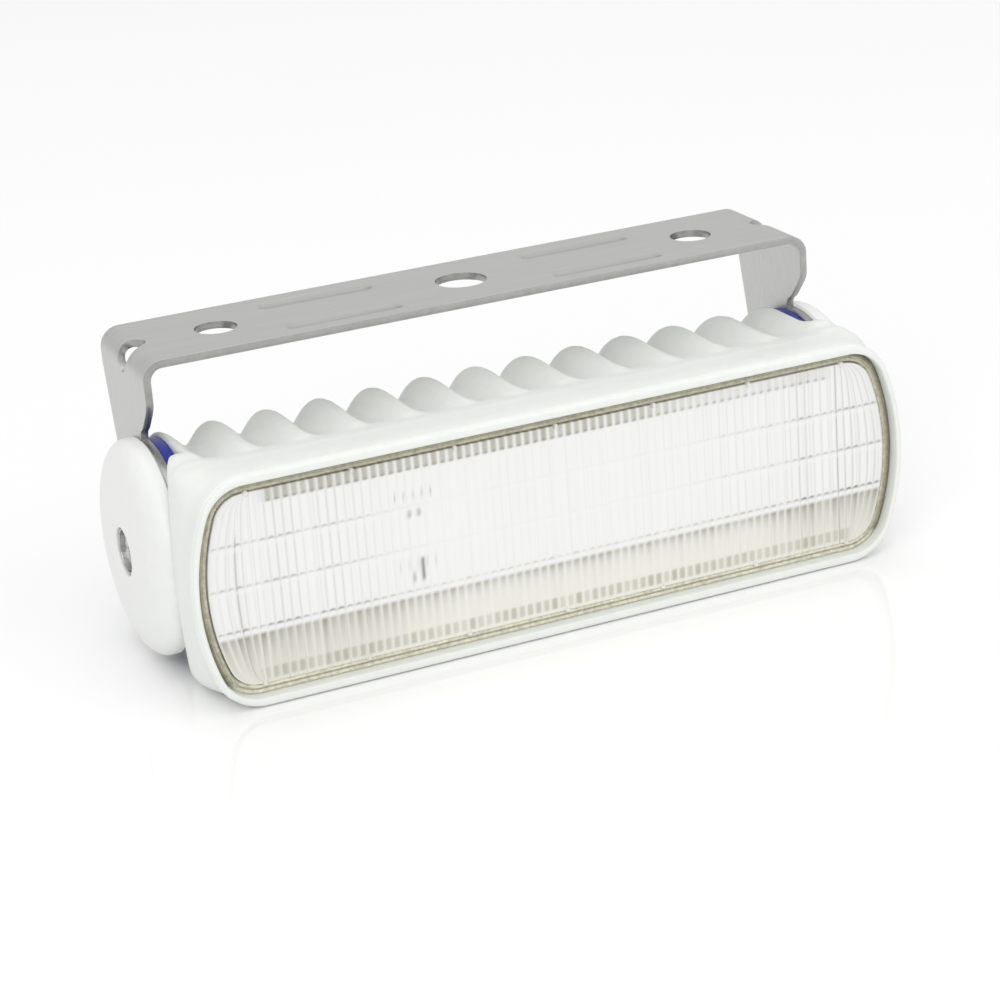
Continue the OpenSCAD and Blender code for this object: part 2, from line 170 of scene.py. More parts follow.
def leg_grids(side, across, s_top):
    """The leg below the fold: rows between its front and rear edges, softened polylines, down to
    the chord where the eye begins, then rings from the eye's outline in to its bore."""
    low = leg_out - fold_r + fold_r * math.pi / 2 - fold_r
    z_top = low - s_top
    neck = pivot[1] + 1.35
    neck_z = pivot[2] + math.sqrt(eye_r ** 2 - 1.35 ** 2)
    rear_a = math.radians(32)
    rear = (pivot[1] + eye_r * math.cos(rear_a), pivot[2] + eye_r * math.sin(rear_a))
    front_edge = np.array([(-strap_half, z_top), (-strap_half, -8.6), (-strap_half + 0.9, -10.2),
                           (neck - 1.7, -14.3), (neck, -15.3), (neck, neck_z)])
    rear_edge = np.array([(strap_half, z_top), rear])

    def along(points, count):
        """A polyline stepped evenly by length, its corners eased by averaging each point with
        its neighbours four times."""
        run = np.append(0, np.cumsum(np.linalg.norm(np.diff(points, axis=0), axis=1)))
        want = np.linspace(0, run[-1], count)
        line = np.stack([np.interp(want, run, points[:, i]) for i in (0, 1)], -1)
        for _ in range(4):
            line[1:-1] = (line[:-2] + 2 * line[1:-1] + line[2:]) / 4
        return line

    share = ((across + strap_half) / (2 * strap_half))[None, :, None]
    front, back = along(front_edge, 33)[:, None], along(rear_edge, 33)[:, None]
    rows = front + (back - front) * share
    turn = np.linspace(rear_a, math.atan2(neck_z - pivot[2], 1.35) - 2 * math.pi, 181)
    foot = pivot[1:] + eye_r * np.stack([np.cos(turn), np.sin(turn)], -1)
    eye = punched(np.concatenate([rows[-1][:-1], foot]), pivot[1:], eye_bore, eye_bore, 12)
    return [folded(side * (low - g[..., 1]), g[..., 0]) for g in (rows, eye)]


def bracket_grids():
    """The strip from end to end: plain stretches between patches that hold a hole or a relief."""
    line = groove_at[1]
    across = spread([-strap_half, -line - 2.0, -line - 1.1, -line + 2.9, line - 2.0, line - 1.1,
                     line + 2.9, strap_half], [5, 6, 8, 8, 6, 8, 4])
    relief = leg_out - fold_r + fold_r * math.pi / 4
    cuts = [9.0, hole_at - 8, hole_at + 8, relief - 5.7, relief + 5.7]
    grids = [folded(*np.moveaxis(punched(frame_of(np.linspace(-cuts[0], cuts[0], 37), across),
                                         np.zeros(2), hole_middle, hole_middle), -1, 0))]
    for side in (-1, 1):
        for a, b, count in ((cuts[0], cuts[1], 76), (cuts[2], cuts[3], 10)):
            s, v = np.meshgrid(side * np.linspace(a, b, count), across, indexing="ij")
            grids.append(folded(s, v))
        for a, b, middle, reach, wide, count in ((cuts[1], cuts[2], hole_at, hole_side, hole_side, 33),
                                                 (cuts[3], cuts[4], relief, leaf_long, leaf_wide, 33)):
            edge = frame_of(side * np.linspace(a, b, count), across)
            ring = punched(edge, np.array([side * middle, 0]), reach, wide)
            grids.append(folded(ring[..., 0], ring[..., 1]))
        grids += leg_grids(side, across, cuts[4])
    return grids


def paint(name, colour, rough, metal=0.0, drift=0.05, grain=(900, 900, 900), bump=0.1, wear=0.08,
          with_painted_light=False):
    """A Principled surface for one finish. Noise on Object coordinates, grain times a metre fine,
    darkens the colour by up to drift, moves the roughness by wear and raises a bump. A finish
    with painted light has its colour multiplied by the light and shade painted on the piece."""
    material = bpy.data.materials.new(name)
    material.use_nodes = True
    nodes, links = material.node_tree.nodes, material.node_tree.links
    surface = nodes["Principled BSDF"]
    surface.inputs["Metallic"].default_value = metal
    where = nodes.new("ShaderNodeTexCoord")
    stretch = nodes.new("ShaderNodeMapping")
    stretch.inputs["Scale"].default_value = grain
    noise = nodes.new("ShaderNodeTexNoise")
    noise.inputs["Scale"].default_value = 1.0
    noise.inputs["Detail"].default_value = 4.0
    links.new(where.outputs["Object"], stretch.inputs["Vector"])
    links.new(stretch.outputs["Vector"], noise.inputs["Vector"])
    shades = nodes.new("ShaderNodeValToRGB")
    shades.color_ramp.elements[0].position = 0.3
    shades.color_ramp.elements[0].color = [c * (1 - drift) for c in colour] + [1]
    shades.color_ramp.elements[1].position = 0.7
    shades.color_ramp.elements[1].color = [*colour, 1]
    links.new(noise.outputs["Fac"], shades.inputs["Fac"])
    links.new(shades.outputs["Color"], surface.inputs["Base Color"])
    # the colour is multiplied by the light and shade painted on the piece
    if with_painted_light:
        painted_node = nodes.new("ShaderNodeAttribute")
        painted_node.attribute_name = "painted_light"
        both = nodes.new("ShaderNodeMix")
        both.data_type = "RGBA"
        both.blend_type = "MULTIPLY"
        both.inputs["Factor"].default_value = 1.0
        links.new(shades.outputs["Color"], both.inputs["A"])
        links.new(painted_node.outputs["Color"], both.inputs["B"])
        links.new(both.outputs["Result"], surface.inputs["Base Color"])
    level = nodes.new("ShaderNodeMapRange")
    level.inputs["To Min"].default_value = rough - wear
    level.inputs["To Max"].default_value = rough + wear
    links.new(noise.outputs["Fac"], level.inputs["Value"])
    links.new(level.outputs["Result"], surface.inputs["Roughness"])
    relief = nodes.new("ShaderNodeBump")
    relief.inputs["Strength"].default_value = bump
    relief.inputs["Distance"].default_value = 0.0001
    links.new(noise.outputs["Fac"], relief.inputs["Height"])
    links.new(relief.outputs["Normal"], surface.inputs["Normal"])
    return material


def painted_light(piece, shade):
    """Stores light and shade painted on a piece as a colour for each point, which shade works out
    from its place in mm from the axis.
    """
    places = np.empty(3 * len(piece.data.vertices))
    piece.data.vertices.foreach_get("co", places)
    colours = shade(*(places.reshape(-1, 3) / MM - pivot).T)
    layer = piece.data.color_attributes.new("painted_light", "FLOAT_COLOR", "POINT")
    layer.data.foreach_set("color", np.append(colours, np.ones((len(colours), 1)), 1).ravel())


def wall(piece, thick, offset=-1.0, rim=0):
    """Gives an open sheet its thickness; rim is the material slot of its cut edges."""
    layer = piece.modifiers.new("wall", "SOLIDIFY")
    layer.thickness = thick * MM
    layer.offset = offset
    layer.use_even_offset = True
    layer.material_offset_rim = rim


def ease(piece, radius, angle=50, steps=2):
    """Rounds every edge sharper than angle degrees."""
    round_off = piece.modifiers.new("ease", "BEVEL")
    round_off.width = radius * MM
    round_off.segments = steps
    round_off.limit_method = "ANGLE"
    round_off.angle_limit = math.radians(angle)
    round_off.use_clamp_overlap = True


def groove_shade(x, y, z):
    """Painted shade on clear steel: dimmed along the crease of each groove and a little up its
    long rise, where the pressed grooves fall into shade.
    """
    v = y + pivot[1]
    across = (np.abs(v) - groove_at[1]) * np.sign(v)
    past = np.abs(np.abs(x) - groove_at[0]) - groove_long / 2
    ends = (1 - smooth(past, -1.2, 0.4)) * (z > 30)
    dim = ends * (0.85 * np.exp(-((across + 1.3) / 0.6) ** 2)
                  + 0.16 * smooth(across, -1.4, -1.0) * (1 - smooth(across, -1.0, 2.8)))
    return (1 - dim)[:, None] * np.ones(3)


brushed = paint("brushed_stainless", (0.64, 0.64, 0.625), 0.42, metal=1.0, drift=0.1,
                grain=(40, 2600, 400), bump=0.12, wear=0.05, with_painted_light=True)
sheared = paint("sheared_edge", (0.44, 0.44, 0.43), 0.36, metal=1.0, drift=0.16, grain=(500, 900, 500))
bracket = grid_mesh("steel_bracket", bracket_grids(), up=(0, 0, 1), sharp=40)
bracket.data.materials.append(brushed)
bracket.data.materials.append(sheared)
# painted shade along the pressed grooves, stored on the steel's points
painted_light(bracket, groove_shade)
wall(bracket, sheet, rim=1)
ease(bracket, 0.16)
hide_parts("bracket")
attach(bracket, "bracket")


# ---------- Housing ----------
# The lamp's body is one moulding in white plastic: a deep frame round the lens opening that
# fades into thirteen soft waves, which run over the top, round the back and under the lamp.
# Its inside is a pocket with posts for the two boards and a boss for each end screw.

body_x = ring_high[0] * -1
back_half = (75.4, 22.2)
back_r = (90.0, 5.0)
shoulder_y = -12.0
swing_r = 21.9
end_limit = ([-26, -23.3, -21.4, -19, -14.9, -12], [14.0, 9.0, 7.6, 6.3, 4.5, 3.0])
open_half = (74.0, 21.2)
open_r = (46.0, 8.2)
lip = (1.4, 1.9)
rim_y = -34.6
flange_y = -22.0
top_fall = ([flange_y, -17, -12, -6, 0], [0.0, -1.1, -2.6, -5.4, -8.5])
ledge_y = -29.0
step_y = -24.5
shelf_y = -11.2
seal_w = 4.4
crease = 0.28
crest_r = 21.4
wave_deep = 3.8
wave_pitch = 11.2
bay = (63.6, 16.8)
pocket = (62.0, 14.5)
pocket_r = 14.8


def outline(half, radii, top_x, turns):
    """The bulging bar outline as (points, outward normals): a straight top as far as the corner
    arc's centre, a corner arc, one wide arc for the whole end, and the same again mirrored.
    top_x are the X places from the middle to the end of the run; turns are shares of the
    remaining arcs, from 0 at the run's end to 1 at the tip."""
    mid, up = half[0] - radii[0], half[1] - radii[1]
    corner = mid + math.sqrt((radii[0] - radii[1]) ** 2 - up ** 2)
    meet = math.atan2(up, corner - mid)
    top_angle = np.arccos(np.clip((top_x - corner) / radii[1], 0, 1))
    corner_len = radii[1] * (top_angle[-1] - meet)
    side_len = radii[0] * meet
    run = turns[1:] * (corner_len + side_len)
    on_corner = run < corner_len
    angle = np.where(on_corner, top_angle[-1] - run / radii[1], meet - (run - corner_len) / radii[0])
    angle = np.append(top_angle, angle)
    on_corner = np.append(np.ones(len(top_x), bool), on_corner)
    normal = np.stack([np.cos(angle), np.sin(angle)], -1)
    centre = np.where(on_corner[:, None], (corner, up), (mid, 0.0))
    radius = np.where(on_corner, radii[1], radii[0])[:, None]
    points = centre + radius * normal
    points[:len(top_x), 0] = np.where(top_x < corner, top_x, points[:len(top_x), 0])
    quarter = np.concatenate([points, normal], -1)
    quarter[-1, 1] = 0.0
    return mirrored(quarter)


def mirrored(quarter):
    """A closed loop of points and normals from its first quarter, top middle to end tip."""
    flip_z, flip_x = np.array([1, -1, 1, -1]), np.array([-1, 1, -1, 1])
    half = np.concatenate([quarter, quarter[-2::-1] * flip_z])
    loop = np.concatenate([half, half[-2::-1] * flip_x])
    return loop[:, :2], loop[:, 2:]


def wave(x):
    """Radius of the back at x, which falls from a crest with the square of the sine."""
    return crest_r - wave_deep * np.sin(math.pi * x / wave_pitch) ** 2


def blended(a, b, reach):
    """The larger of a and b, with the corner between them filled by a curve of that reach."""
    t = np.clip(0.5 + 0.5 * (a - b) / reach, 0, 1)
    return b + (a - b) * t + reach * t * (1 - t)


def skin(x, top_z, path):
    """The body behind the frame, rows along path and columns along x. A path value under 0 is a
    place on the top, from -1 at the frame to 0 above the axis; 0 to 1 goes round the back, and
    1 to 2 comes forward below. Height is the frame's sloping top blended with the waves."""
    ahead = np.maximum(np.maximum(-path, path - 1), 0)[:, None]
    y = flange_y * ahead
    slope = np.interp(y, *top_fall)
    frame_top = top_z[None, :] + slope
    crest = wave(x)[None, :] - 5.0 * smooth(-y, 14.5, 22)
    height = blended(frame_top, crest, 2.6 * (1 - smooth(y, -9, 0)) + 0.01)
    fade = smooth(y, flange_y, flange_y + 2.5)
    bulge = np.clip((np.abs(x) - body_x + 0.9) / 0.9, 0, 1)
    roll = 0.9 * (1 - np.sqrt(1 - bulge ** 2)) * smooth(y, shoulder_y - 1, shoulder_y + 3)
    lift = 0.7 * smooth(np.abs(x), 63, body_x) * smooth(-y, 8, 15)
    height = frame_top + (height - frame_top + lift) * fade - roll * fade
    angle = math.pi * (0.5 - np.clip(path, 0, 1))[:, None]
    return np.stack([x[None, :] + 0 * height, y + height * np.cos(angle), height * np.sin(angle)], -1)


def carried(loop, inset, y, normal):
    """A row of points: the outline, inset along its normals, at depth y."""
    flat = loop - np.reshape(inset, (-1, 1)) * normal
    return np.stack([flat[:, 0], y + 0 * flat[:, 0], flat[:, 1]], -1)


def clipped(loop, limit, y, squeeze=1.0):
    """A row of points: the outline squashed into the rectangle limit, at depth y."""
    return np.stack([np.clip(loop[:, 0], -limit[0], limit[0]), np.full(len(loop), y),
                     np.clip(loop[:, 1], -limit[1], limit[1]) * squeeze], -1)


def narrowed(reach, y):
    """How far the frame's end stands out past the end face at depth y: the outline's own reach,
    smoothly held under a limit that falls towards the back."""
    limit = np.interp(y, *end_limit)
    return reach * limit / (reach ** 8 + limit ** 8) ** 0.125


def frame_row(front, back, y):
    """The frame's outline at depth y: the front outline turning into the squarer back one, with
    its ends narrowed."""
    share = smooth(y, rim_y + 3, flange_y)
    loop = front + (back - front) * share
    reach = np.abs(loop[:, 0])
    past = np.maximum(reach - body_x, 0)
    x = np.where(past > 0, body_x + narrowed(past, y), reach) * np.sign(loop[:, 0])
    return np.stack([x, y + 0 * x, loop[:, 1]], -1)


def shoulder_grids(tip, top_z, column, rows, side):
    """One end of the frame behind flange_y: its side, carried back to the swing circle or to
    shoulder_y, the cut face from there in to the end face, and the end face itself."""
    rear = np.minimum(-np.sqrt(np.maximum(swing_r ** 2 - tip[:, 1] ** 2, 0)), shoulder_y)
    y = flange_y + (rear - flange_y) * np.linspace(0, 1, rows)[:, None]
    edge_z = skin(np.array([body_x]), np.array([top_z]), y.ravel() / -flange_y)[:, 0, 2].reshape(y.shape)
    x = body_x + narrowed(tip[:, 0] - body_x, y)
    wing = np.stack([side * x, y, tip[:, 1] * edge_z / top_z], -1)
    seam = wing[-1].copy()
    seam[:, 0] = side * body_x
    t = np.linspace(0, 1, 4)[:, None, None]
    return [wing, wing[-1] + (seam - wing[-1]) * t, seam + (column - seam) * t]


def housing_grids():
    """Frame, skin, shoulders, end faces and pocket as grids that share their edge points."""
    top_x = spread([0, 62.4, body_x - 0.9], [89, 5])
    top_x = np.concatenate([top_x, body_x - 0.9 + 0.9 * np.sin(np.linspace(0, math.pi / 2, 7)[1:])])
    start = shoulder_y / flange_y
    wing_rows = 13
    path = np.concatenate([np.linspace(-1, -start, wing_rows)[:-1], np.linspace(-start, 0, 16)[:-1],
                           np.linspace(0, 1, 65), np.linspace(1, 1 + start, 16)[1:],
                           np.linspace(1 + start, 2, wing_rows)[1:]])
    ends = slice(wing_rows - 1, len(path) - wing_rows + 1)
    turns = np.linspace(0, 1, (len(path[ends]) + 1) // 2)
    outer_half = (open_half[0] + lip[0], open_half[1] + lip[1])
    outer_r = (open_r[0] + lip[0], open_r[1] + lip[1])
    outer, facing = outline(outer_half, outer_r, top_x, turns)
    rear = outline(back_half, back_r, top_x, turns)[0]
    inner, inward = outline(open_half, open_r, top_x, turns)
    rows = []
    for share in np.linspace(0, 1, 14):
        rows.append(frame_row(outer, rear, flange_y + (rim_y + 1.6 - flange_y) * share))
    for inset, y in ((crease * 0.3, rim_y + 1.2), (crease, rim_y + 1.05), (crease, rim_y + 0.85)):
        rows.append(carried(outer, inset, y, facing))
    for a in np.linspace(0, math.pi / 2, 6):
        rows.append(carried(outer, crease - 0.1 + 0.7 * (1 - math.cos(a)), rim_y + 0.7 * (1 - math.sin(a)),
                            facing))
    for a in np.linspace(0, math.pi / 2, 4):
        rows.append(carried(inner, -0.35 * (1 - math.sin(a)), rim_y + 0.35 * (1 - math.cos(a)), inward))
    rows += [carried(inner, 0.0, y, inward) for y in (rim_y + 2, ledge_y)]
    rows += [carried(inner, seal_w, y, inward) for y in (ledge_y, step_y)]
    rows += [clipped(inner, bay, step_y), clipped(inner, bay, shelf_y), clipped(inner, pocket, shelf_y)]
    for a in np.linspace(0, math.pi / 2, 12):
        rows.append(clipped(inner, pocket, 1 + (pocket_r - 1) * math.sin(a), math.cos(a)))
    shell = np.stack(rows)
    x = np.concatenate([-top_x[:0:-1], top_x])
    top_z = shell[0, :len(top_x), 2]
    back = skin(x, np.concatenate([top_z[:0:-1], top_z]), path)
    tip = rear[len(top_x) - 1:len(top_x) - 1 + len(path[ends])]
    grids = [shell, back]
    for side in (1, -1):
        column = back[ends, -1 if side > 0 else 0]
        grids += shoulder_grids(tip, top_z[-1], column, wing_rows, side)
    return grids


def turned(profile, steps=64, axis="y", shape=None):
    """A closed shape of revolution: profile is (radius, place along the axis) from one pole to
    the other, carried round the axis in equal steps. shape changes the radii with the angle."""
    profile = np.array(profile, float)
    angle = np.linspace(0, 2 * math.pi, steps + 1)
    radius, place = profile[:, :1] + 0 * angle, profile[:, 1:] + 0 * angle
    if shape is not None:
        radius = shape(radius, place, angle)
    ring = (radius * np.cos(angle), place, radius * np.sin(angle))
    order = {"y": (0, 1, 2), "x": (1, 0, 2)}[axis]
    return np.stack([ring[i] for i in order], -1)


def arc(cx, cy, radius, start, stop, steps=6):
    """Points on a circle round (cx, cy) from start to stop degrees."""
    angle = np.radians(np.linspace(start, stop, steps + 1))
    return [(cx + radius * math.cos(a), cy + radius * math.sin(a)) for a in angle]


def rod(radius, start, stop, soft=0.3):
    """Profile of a plain round bar with eased ends."""
    return [(0, start), (radius - soft, start), (radius, start + soft), (radius, stop - soft),
            (radius - soft, stop), (0, stop)]


def fused(piece, name, grids, how):
    """Applies a boolean of separate closed shapes to a piece, so that it stays one skin."""
    tool = grid_mesh(name, grids, pivot)
    cut = piece.modifiers.new(name, "BOOLEAN")
    cut.operation = how
    cut.solver = "MANIFOLD"
    cut.object = tool
    bpy.context.view_layer.update()
    graph = bpy.context.evaluated_depsgraph_get()
    result = bpy.data.meshes.new_from_object(piece.evaluated_get(graph))
    piece.modifiers.clear()
    piece.data = result
    bpy.data.objects.remove(tool)


post_at = (57.0, 11.8)
standoff_at = (44.0, 8.0)
boss_end = 22.6
boss_r = 9.0
gland_r = 5.95
insert_r = 3.5


def at_four(profile, steps, place):
    """The same round bar at place and at its three mirror images."""
    bar = turned(profile, steps)
    return [bar + (a * place[0], 0, b * place[1]) for a in (-1, 1) for b in (-1, 1)]


posts = at_four(rod(3.2, shelf_y, -1.0), 32, post_at)
posts += at_four(rod(3.0, 2.6, 13.6), 32, standoff_at)
posts += [turned([(r, a * p) for r, p in rod(7.5, 54.5, 66.0)], 48, "x") for a in (-1, 1)]
posts.append(turned([(0, 11), (13.5, 11), (13.5, 14.5)] + arc(boss_r + 4.2, 18.9, 4.2, -90, -180, 8)
                    + arc(boss_r - 0.5, boss_end - 0.5, 0.5, 0, 90, 4) + [(0, boss_end)], 96))
bores = at_four(rod(1.25, shelf_y - 1, -3.0, 0.1), 16, post_at)
bores += at_four(rod(1.25, 1.0, 11.0, 0.1), 16, standoff_at)
bores += [turned([(r, a * p) for r, p in rod(insert_r, 57.0, body_x + 1, 0.1)], 48, "x") for a in (-1, 1)]
bores.append(turned(rod(gland_r + 0.05, 10.0, boss_end + 1, 0.1), 64))


def white_moulding():
    """Satin white plastic with a cool green cast, fine orange-peel and a little unevenness."""
    return paint("white_moulding", (0.83, 0.85, 0.815), 0.42, drift=0.035, grain=(420, 420, 420), bump=0.12)


shell = grid_mesh("housing_shell", housing_grids(), pivot)
fused(shell, "posts", posts, "UNION")
fused(shell, "bores", bores, "DIFFERENCE")
shell.data.set_sharp_from_angle(angle=math.radians(32))
shell.data.materials.clear()
shell.data.materials.append(white_moulding())
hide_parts("housing")
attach(shell, "lamp")


# ---------- Light sources ----------
# Five square phosphor-coated sources on a white metal-core board. Four pan-head screws hold the
# board, its soft grey pad and an aluminium spreader against the housing.


def finish(node, material):
    """Puts a finish on a CAD node that keeps its own shape."""
    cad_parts[node].material_slots[0].material = material


finish("heat_spreader", paint("milled_aluminium", (0.66, 0.67, 0.68), 0.42, metal=1.0, drift=0.12,
                              grain=(40, 3000, 3000), bump=0.3))
finish("thermal_pad", paint("silicone_pad", (0.32, 0.35, 0.38), 0.75, drift=0.2,
                            grain=(2500, 2500, 2500), bump=0.4))
finish("led_board", paint("white_solder_mask", (0.82, 0.82, 0.79), 0.4, drift=0.06))
finish("led_chips", paint("phosphor_gel", (0.86, 0.66, 0.16), 0.28, drift=0.12,
                          grain=(3000, 3000, 3000), bump=0.3))
screw_steel = paint("bright_screw_steel", (0.62, 0.62, 0.62), 0.24, metal=1.0, drift=0.15,
                    grain=(1800, 1800, 1800), bump=0.15)
finish("board_screws", screw_steel)


# ---------- Reflector ----------
# One thin white moulding: a plate that fills the window behind the lens, with a deep round
# bowl for each source. The plate's edge rests behind the seal.

bowl_pitch = 26.0
bowl_count = 5
bowl_r = (12.4, 3.0)
plate_y = -28.8
chip_y = -16.3
plate_inset = 4.8


def bowls():
    """Square patches that turn into rings and then into bowls, whose depth grows with the square
    of the way in from the rim, and a band from their common edge out to the plate's outline."""
    half, cells = bowl_pitch / 2, 24
    grids = []
    rim, throat = bowl_r
    falls = np.concatenate([[rim + 0.45, rim + 0.15], np.linspace(rim, throat, 18)])
    depth = np.clip((rim ** 2 - falls ** 2) / (rim ** 2 - throat ** 2), 0, 1) * (chip_y - plate_y)
    depth[1] = 0.06
    for i in range(bowl_count):
        middle = np.array([(i - (bowl_count - 1) / 2) * bowl_pitch, 0.0])
        steps = np.linspace(-half, half, cells + 1)
        edge = frame_of(middle[0] + steps, steps)
        ray = (edge - middle) / np.linalg.norm(edge - middle, axis=1)[:, None]
        rings = [edge] + [middle + r * ray for r in falls]
        levels = [0.0, *depth]
        grids.append(np.stack([np.stack([g[:, 0], np.full(len(g), plate_y + d), g[:, 1]], -1)
                               for g, d in zip(rings, levels)]))
    reach = half * bowl_count
    run = np.linspace(0, reach, cells * bowl_count // 2 + 1)
    down = np.linspace(half, 0, cells // 2 + 1)
    top, side = np.stack([run, half + 0 * run], -1), np.stack([reach + 0 * down, down], -1)
    square = np.concatenate([top, side[1:]])
    square = mirrored(np.concatenate([square, square], -1))[0]
    window = [(h - plate_inset, r - plate_inset) for h, r in zip(open_half, open_r)]
    corner = 63.4
    loop = outline([w[0] for w in window], [w[1] for w in window], run * corner / reach,
                   np.linspace(0, 1, cells // 2 + 1))[0]
    band = square + (loop - square) * np.linspace(0, 1, 4)[:, None, None]
    grids.append(np.stack([band[..., 0], np.full(band.shape[:2], plate_y), band[..., 1]], -1))
    return grids


reflector = grid_mesh("bowl_reflector", bowls(), pivot, up=(0, -1, 0), sharp=50)
reflector.data.materials.append(paint("reflector_white", (0.90, 0.90, 0.885), 0.22, drift=0.03,
                                      grain=(300, 300, 300), bump=0.05))
wall(reflector, 0.7)
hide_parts("reflector")
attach(reflector, "lamp")


# ---------- Driver ----------
# The supply board stands on posts behind the spreader, with its choke, two capacitors, three
# packages and a lead terminal; two gold-plated pins carry its output to the source board.

finish("driver_board", paint("green_solder_mask", (0.03, 0.14, 0.06), 0.35, drift=0.3))
finish("driver_screws", screw_steel)
finish("choke_coil", paint("enamelled_copper", (0.52, 0.19, 0.06), 0.3, drift=0.35,
                           grain=(300, 6000, 300), bump=0.8))
finish("capacitors", paint("capacitor_sleeve", (0.03, 0.035, 0.06), 0.35, drift=0.2))
finish("driver_chips", paint("chip_resin", (0.02, 0.02, 0.02), 0.6, drift=0.3,
                             grain=(4000, 4000, 4000), bump=0.4))
finish("wire_terminal", paint("terminal_green", (0.05, 0.25, 0.09), 0.45, drift=0.15))
brass = paint("plated_brass", (0.72, 0.53, 0.25), 0.3, metal=1.0, drift=0.15)
finish("link_pins", brass)


# ---------- Lens seal ----------
# An olive silicone ring of L section round the lens: two beads close the gap beside the lens
# edge, the inner one knurled, and a flat leg lies behind the lens on the housing's ledge.

lens_inset = 2.2
lens_front = rim_y + 2.0
lens_back = lens_front + 2.8


def seal_grids():
    """A closed profile of (inset, depth) carried along the opening. The inner bead's crest rises
    and falls with the sine of the distance run."""
    top_x = np.linspace(0, 63.4, 181)
    loop, normal = outline(open_half, open_r, top_x, np.linspace(0, 1, 71))
    run = np.append(0, np.cumsum(np.linalg.norm(np.diff(loop, axis=0), axis=1)))
    knurl = 0.11 * np.sin(2 * math.pi * run / run[-1] * round(run[-1] / 0.95))
    front = lens_front + 0.75
    foot = ledge_y - 0.03
    profile = ([(0.03, foot), (0.03, front)] + arc(0.62, front, 0.42, 200, 340, 5)
               + arc(1.62, front, 0.46, 200, 345, 5)
               + [(lens_inset - 0.02, front + 0.2), (lens_inset, lens_back - 0.01),
                  (seal_w - 0.2, lens_back), (seal_w, lens_back + 0.2), (seal_w, foot), (0.03, foot)])
    rows = [carried(loop, i, y - knurl * (abs(i - 1.7) < 0.3) * (y < front), normal) for i, y in profile]
    return [np.stack(rows)]


def olive_silicone():
    """Olive grey silicone, clouded, its lightness taken from the light and shade painted on the
    ring.
    """
    return paint("olive_silicone", (1.0, 1.0, 0.98), 0.42, drift=0.35, grain=(1100, 1100, 1100),
                 bump=0.5, with_painted_light=True)


def seal_light_and_shade(x, y, z):
    """Painted light and shade on the olive ring: dark olive by the housing, where the frame's wall
    shades it, paler on the knurled bead by the lens, and palest along the bottom, where light
    falls into the recess; there a painted shadow, a thin dark line, parts the two beads. How far
    in a point lies is its distance from the nearest place on the opening's edge."""
    loop = outline(open_half, open_r, np.linspace(0, 63.4, 181), np.linspace(0, 1, 71))[0]
    inset = np.concatenate([np.hypot(part[:, :1] - loop[:, 0], part[:, 1:] - loop[:, 1]).min(1)
                            for part in np.array_split(np.stack([x, z], -1), 40)])
    inner = smooth(inset, 0.75, 1.15)
    low = smooth(-z, 17.0, 19.5)[:, None]
    line = np.exp(-((inset - 1.1) / 0.16) ** 2)[:, None]
    dark, pale, sand = np.array([(0.26, 0.243, 0.17), (0.66, 0.63, 0.50), (0.97, 0.94, 0.79)])
    tone = dark + (pale - dark) * inner[:, None]
    tone = tone + (sand - tone) * low * 0.85
    return tone * (1 - 0.6 * low * line)


seal = grid_mesh("lens_seal", seal_grids(), pivot, sharp=50)
seal.data.materials.append(olive_silicone())
# painted light and shade on the seal, stored on its points
painted_light(seal, seal_light_and_shade)
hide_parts("lens_gasket")
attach(seal, "lamp")


# ---------- Lens ----------
# Clear polycarbonate, smooth in front and moulded behind into four rows of fine upright prisms
# that spread the beam. The prisms lean with the bulging ends, and small pips along the top and
# bottom edges locate the lens in its seal.

prism_pitch = 1.75
prism_high = 0.42
row_breaks = (9.2, 0.8, -7.8)
prism_top = 16.9
source_x = -30.2
lean_from = 61.0
pip_pitch = 20.9
pip_r = 0.55
lens_half = (open_half[0] - lens_inset, open_half[1] - lens_inset)
lens_r = (open_r[0] - lens_inset, open_r[1] - lens_inset)


def half_length(z):
    """Half the lens's length at height z: the wide end arc, and near the top and bottom the
    corner arc."""
    mid, up = lens_half[0] - lens_r[0], lens_half[1] - lens_r[1]
    corner = mid + math.sqrt((lens_r[0] - lens_r[1]) ** 2 - up ** 2)
    meet = lens_r[0] * math.sin(math.atan2(up, corner - mid))
    z = np.abs(z)
    end = mid + np.sqrt(lens_r[0] ** 2 - np.minimum(z, meet) ** 2)
    turn = corner + np.sqrt(np.maximum(lens_r[1] ** 2 - np.maximum(z - up, 0) ** 2, 0))
    return np.where(z < meet, end, turn)


